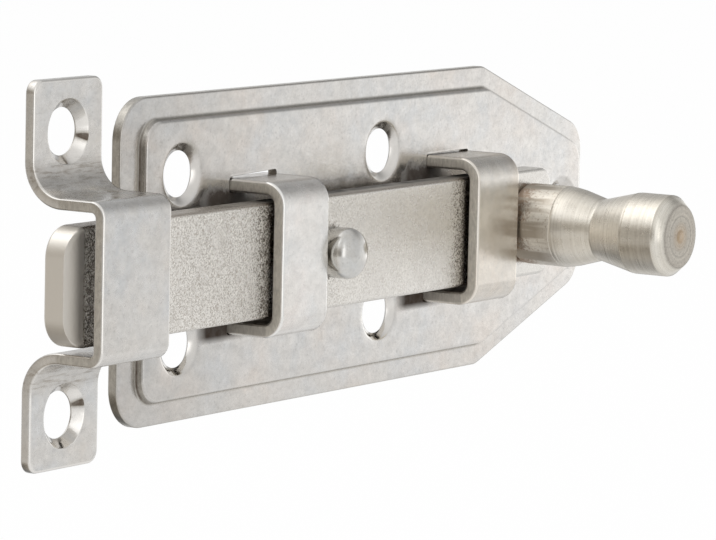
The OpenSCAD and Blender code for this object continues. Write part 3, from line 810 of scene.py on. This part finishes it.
# How far the tool went in, and how far from the bar: the foot's line, the cone, the waist, the head and
# its chamfer
waist_in, face_in, chamfer_from = KNOB_R - WAIST_R, KNOB_R - FACE_R, KNOB_LEN - KNOB_CHAMFER
turning = [
    (0, KNOB_LINE - 0.12), (0.06, KNOB_LINE), (0.0, KNOB_LINE + 0.14), (0.05, KNOB_LINE + 0.5),
    (0.14, KNOB_LINE + 1.2), (0.36, KNOB_LINE + 2.4),
    (waist_in - 0.07, KNOB_WAIST - 0.25), (waist_in, KNOB_WAIST), (waist_in - 0.06, KNOB_WAIST + 0.2),
    (0.06, KNOB_HEAD - 0.35), (0.12, KNOB_HEAD - 0.2), (0.12, KNOB_HEAD - 0.08), (0.01, KNOB_HEAD + 0.05),
    (0.01, chamfer_from - 0.2), (0.06, chamfer_from + 0.05),
    (face_in - 0.1, KNOB_LEN - 0.12), (face_in + 0.05, KNOB_LEN - 0.02),
]
knob_profile += [(KNOB_R - i, bar_front + d) for i, d in turning]

# The end face has fine grooves and a small pip left in its middle
end, groove = bar_front + KNOB_LEN, 0.02
knob_profile += [(r, end - groove * (1 - k % 2)) for k, r in enumerate(np.linspace(FACE_R - 0.3, 1.1, 25))]
knob_profile += [(0.9, end), (0.75, end + 0.13), (0.4, end + 0.15), (0, end + 0.15)]
knob = Shell()
# The chamfer takes a slight polish, which gives it a faint painted highlight
on_chamfer = [-0.2 if chamfer_from < d - bar_front < KNOB_LEN - 0.05 else 0 for r, d in knob_profile]
knob.add(*turn(knob_profile, KNOB_X, ROW_Z, KNOB_STEPS), np.tile(on_chamfer, KNOB_STEPS))


def turned_steel(name):
    """Turned stainless: rings in height and tone from noise that only changes along the axis. The foot,
    behind the tool's line, keeps its drawn skin, duller, with streaks along the axis and dark spots that
    painted shade thickens towards the bar. The end face has rings from noise that only changes with the
    distance from the axis, small specks and a brown middle."""
    mat = tumbled_steel(
        name, (0.74, 0.70, 0.625), (0.72, 0.69, 0.635), (0.77, 0.72, 0.63), (0.6, 0.57, 0.51),
        (0.25, 0.33), 0.05, 7.7, 0.002, dark_layer=False,
    )
    tree, shader, where = opened(mat)
    depth = wire(tree, "ShaderNodeSeparateXYZ", {0: where}).outputs["Y"]
    line = -bar_front - KNOB_LINE
    foot, turned = ramp(tree, depth, line, line + 0.05), ramp(tree, depth, line, line + 0.05, 1, 0)

    def rings(scale, detail, rough):
        """Noise that only changes along the axis."""
        sockets = {"W": depth, "Scale": scale, "Detail": detail, "Roughness": rough}
        return wire(tree, "ShaderNodeTexNoise", sockets, noise_dimensions="1D").outputs["Fac"]

    drawn = stretched(tree, where, (1.0, 0.05, 1.0))
    scratches = grain(tree, drawn, 2600, 3, 0.7)
    emboss(tree, times(tree, rings(2600, 2, 0.7), turned), 0.018)
    emboss(tree, times(tree, scratches, foot), 0.02)
    dull = times(tree, remap(tree, rings(2200, 3, 0.85), 0.42, 0.68, 0, 0.45), turned)
    colour = blend(tree, dull, so_far(shader, "Base Color"), (0.47, 0.43, 0.365))

    # Painted shade: the dark spots thicken towards the bar
    speckle_and_shade = figure(tree, "ADD", grain(tree, where, 2300, 3, 0.75), ramp(tree, depth, -13.6, -10.2, 0, 0.34))
    spots = times(tree, remap(tree, speckle_and_shade, 0.54, 0.74, 0, 0.85), foot)
    colour = blend(tree, spots, colour, (0.30, 0.20, 0.135))
    fine = times(tree, remap(tree, scratches, 0.5, 0.7, 0, 0.45), foot)
    broad = remap(tree, grain(tree, drawn, 620, 2, 0.6), 0.49, 0.57, 0, 0.95)
    broad = times(tree, broad, foot, ramp(tree, depth, line, -14.5, 0.3, 1))
    colour = blend(tree, figure(tree, "MAXIMUM", fine, broad), colour, (0.42, 0.37, 0.305))

    off, _ = from_axis(tree, where, KNOB_X)
    face = ramp(tree, depth, -35.4, -35.7)
    ridges = grain(tree, wire(tree, "ShaderNodeCombineXYZ", {"X": off}).outputs[0], 1900, 3, 0.75)
    facing = times(tree, remap(tree, ridges, 0.36, 0.64, 0.15, 0.85), face)
    colour = blend(tree, facing, colour, (0.36, 0.335, 0.30))
    specks = times(tree, remap(tree, grain(tree, where, 2600, 3, 0.7), 0.5, 0.66, 0, 0.5), face)
    colour = blend(tree, specks, colour, (0.24, 0.215, 0.18))
    middle = times(tree, ramp(tree, off, 0.5, 2.3, 0.85, 0), remap(tree, ridges, 0.36, 0.60, 0.35, 1.0), face)
    tree.links.new(blend(tree, middle, colour, (0.50, 0.36, 0.22)), shader.inputs["Base Color"])
    level = remap(tree, foot, 0, 1, so_far(shader, "Roughness"), 0.44)
    tree.links.new(remap(tree, face, 0, 1, level, 0.48), shader.inputs["Roughness"])
    return mat


knob_piece = knob.make("knob_turned", "bolt", turned_steel("turned_knob"), sharp=40)
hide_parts("knob")

# STUDIO
# Pale floor below the part, a white world, one soft box overhead and, for reflections only, a surround
# with light and dark patches. The camera stands where the photograph was taken. Sizes here are metres.
FLOOR_Z, FLOOR_HALF = -0.066, 4.0
FLOOR_GREY, FLOOR_WHITE = 0.92, 0.96
WORLD_LEVEL = 0.8
HORIZON = -10.5
MIDDLE = (0.015, -0.005, 0)


def white_to_lens(tree):
    """1 for camera, glossy and transmission rays, which see the background as plain white."""
    light = wire(tree, "ShaderNodeLightPath").outputs
    seen = figure(tree, "MAXIMUM", light["Is Camera Ray"], light["Is Glossy Ray"])
    return figure(tree, "MAXIMUM", seen, light["Is Transmission Ray"])


world = bpy.data.worlds.new("studio")
bpy.context.scene.world = world
world.use_nodes = True
tree = world.node_tree
back = tree.nodes["Background"]
tree.links.new(remap(tree, white_to_lens(tree), 0, 1, WORLD_LEVEL, 1.0), back.inputs["Strength"])
back.inputs["Color"].default_value = (1, 1, 1, 1)

floor_paint = bpy.data.materials.new("pale_floor")
floor_paint.use_nodes = True
tree = floor_paint.node_tree
diffuse = tree.nodes["Principled BSDF"]
diffuse.inputs["Base Color"].default_value = (FLOOR_GREY, FLOOR_GREY, FLOOR_GREY, 1)
diffuse.inputs["Roughness"].default_value = 0.9
diffuse.inputs["Specular IOR Level"].default_value = 0.0
glow = wire(tree, "ShaderNodeEmission", {"Strength": 1.0})
share = remap(tree, white_to_lens(tree), 0, 1, 0.0, FLOOR_WHITE)
mix = wire(tree, "ShaderNodeMixShader", {0: share, 1: diffuse.outputs[0], 2: glow.outputs[0]})
tree.links.new(mix.outputs[0], tree.nodes["Material Output"].inputs["Surface"])
floor_mesh = bpy.data.meshes.new("floor")
corners = [(x * FLOOR_HALF, y * FLOOR_HALF, FLOOR_Z) for x, y in ((-1, -1), (1, -1), (1, 1), (-1, 1))]
floor_mesh.from_pydata(corners, [], [(0, 1, 2, 3)])
floor_mesh.materials.append(floor_paint)
floor = placed("floor", floor_mesh)
floor.visible_glossy = False


def look_at(place, target):
    """World matrix at a place, with local -Z towards the target."""
    aim = (Vector(target) - Vector(place)).to_track_quat("-Z", "Y").to_matrix().to_4x4()
    return Matrix.Translation(place) @ aim


def soft_box(name, place, size, power):
    """Square area lamp, its side in metres and its power in watts, that faces the middle of the part."""
    lamp = bpy.data.lights.new(name, "AREA")
    lamp.shape = "SQUARE"
    lamp.size = size
    lamp.energy = power
    placed(name, lamp).matrix_world = look_at(place, MIDDLE)


def surround(name, walls, ground, radius=0.35):
    """Sphere round the part that only reflections see. walls and ground each give a level of glow and the
    patches that change it: azimuth from -Y towards +X and elevation of the patch's middle, width and
    height, all in degrees, and the most it adds. A patch fades like a bell curve with the distance from
    its middle, and the walls' glow turns into the ground's round HORIZON. Dark places have a warm cast
    round azimuth -110."""
    a, e = np.meshgrid(np.linspace(-180, 180, 181)[:-1], np.linspace(-89, 89, 120), indexing="ij")
    parts = []
    for level, patches in (walls, ground):
        glow = np.full(a.shape, level)
        for a0, e0, wide, high, change in patches:
            off = np.mod(a - a0 + 180, 360) - 180
            glow += change * np.exp(-(off / wide) ** 2 - ((e - e0) / high) ** 2)
        parts.append(np.clip(glow, 0.06, 2.0))
    down = 1 / (1 + np.exp((e - HORIZON) / 1.5))
    glow = parts[0] * (1 - down) + parts[1] * down
    warm = np.clip(1 - glow, 0, 1) * np.exp(-((a + 110) / 60) ** 2)
    ar, er = np.radians(a), np.radians(e)
    pts = radius * np.stack([np.sin(ar) * np.cos(er), -np.cos(ar) * np.cos(er), np.sin(er)], -1)
    mesh = bpy.data.meshes.new(name)
    mesh.from_pydata(pts.reshape(-1, 3), [], grid_faces(*a.shape).tolist())
    for key, values in (("glow", glow), ("warm", warm)):
        stored = mesh.attributes.new(key, "FLOAT", "POINT")
        stored.data.foreach_set("value", values.reshape(-1).astype(np.float32))
    paint = bpy.data.materials.new(name)
    paint.use_nodes = True
    tree = paint.node_tree
    strength = wire(tree, "ShaderNodeAttribute", attribute_name="glow").outputs["Fac"]
    cast = wire(tree, "ShaderNodeAttribute", attribute_name="warm").outputs["Fac"]
    tint = blend(tree, cast, (1, 1, 1), (1, 0.86, 0.66))
    light = wire(tree, "ShaderNodeEmission", {"Strength": strength, "Color": tint})
    tree.links.new(light.outputs[0], tree.nodes["Material Output"].inputs["Surface"])
    mesh.materials.append(paint)
    screen = placed(name, mesh)
    screen.visible_camera = screen.visible_diffuse = False
    screen.visible_shadow = screen.visible_transmission = False


soft_box("overhead", (-0.10, 0.45, 0.85), 0.5, 2.0)
walls = [
    (90, -6, 30, 14, 0.92), (42, -6, 14, 20, -0.10), (-33, 0, 11, 40, 0.85), (-62, 2, 19, 22, -0.48),
    (-90, 10, 18, 14, -0.28), (-97, 50, 26, 18, 0.5), (-126, 12, 24, 16, -0.45), (-150, 54, 45, 18, 0.65),
    (178, 14, 40, 18, -0.35), (86, 35, 42, 19, -0.50), (120, -7, 18, 11, -0.62), (105, 11, 9, 9, -0.6),
]
ground = [(-135, -33, 40, 20, -0.58), (170, -55, 60, 22, -0.68), (120, -14, 18, 11, -0.62)]
surround("studio_walls", (0.84, walls), (0.93, ground))

# Camera fitted to the photograph: azimuth, elevation and roll in degrees, distance and aim in metres,
# focal length and picture width in pixels, sensor in millimetres
AZIMUTH, ELEVATION, ROLL = np.radians((-56.50, 6.74, 1.30))
DISTANCE, AIM = 0.67264, (0.023099, 0.0, -0.005732)
FOCAL_PIXELS, PICTURE_WIDE, SENSOR = 4637.93, 716, 36
away = np.array([np.sin(AZIMUTH), -np.cos(AZIMUTH), np.tan(ELEVATION)]) * np.cos(ELEVATION)
right = np.cross(-away, (0, 0, 1))
right /= np.linalg.norm(right)
upward = np.cross(right, -away)
across = np.cos(ROLL) * right + np.sin(ROLL) * upward
upright = np.cos(ROLL) * upward - np.sin(ROLL) * right
spot = np.array(AIM) + away * DISTANCE
camera = bpy.data.cameras.new("camera")
camera.sensor_width = SENSOR
camera.lens = FOCAL_PIXELS / PICTURE_WIDE * SENSOR
camera.clip_start, camera.clip_end = 0.05, 20
holder = placed("camera", camera)
rows = np.stack([across, upright, away, spot], 1).tolist()
holder.matrix_world = Matrix(rows + [[0, 0, 0, 1]])
bpy.context.scene.camera = holder
bpy.context.scene.view_settings.view_transform = "Standard"
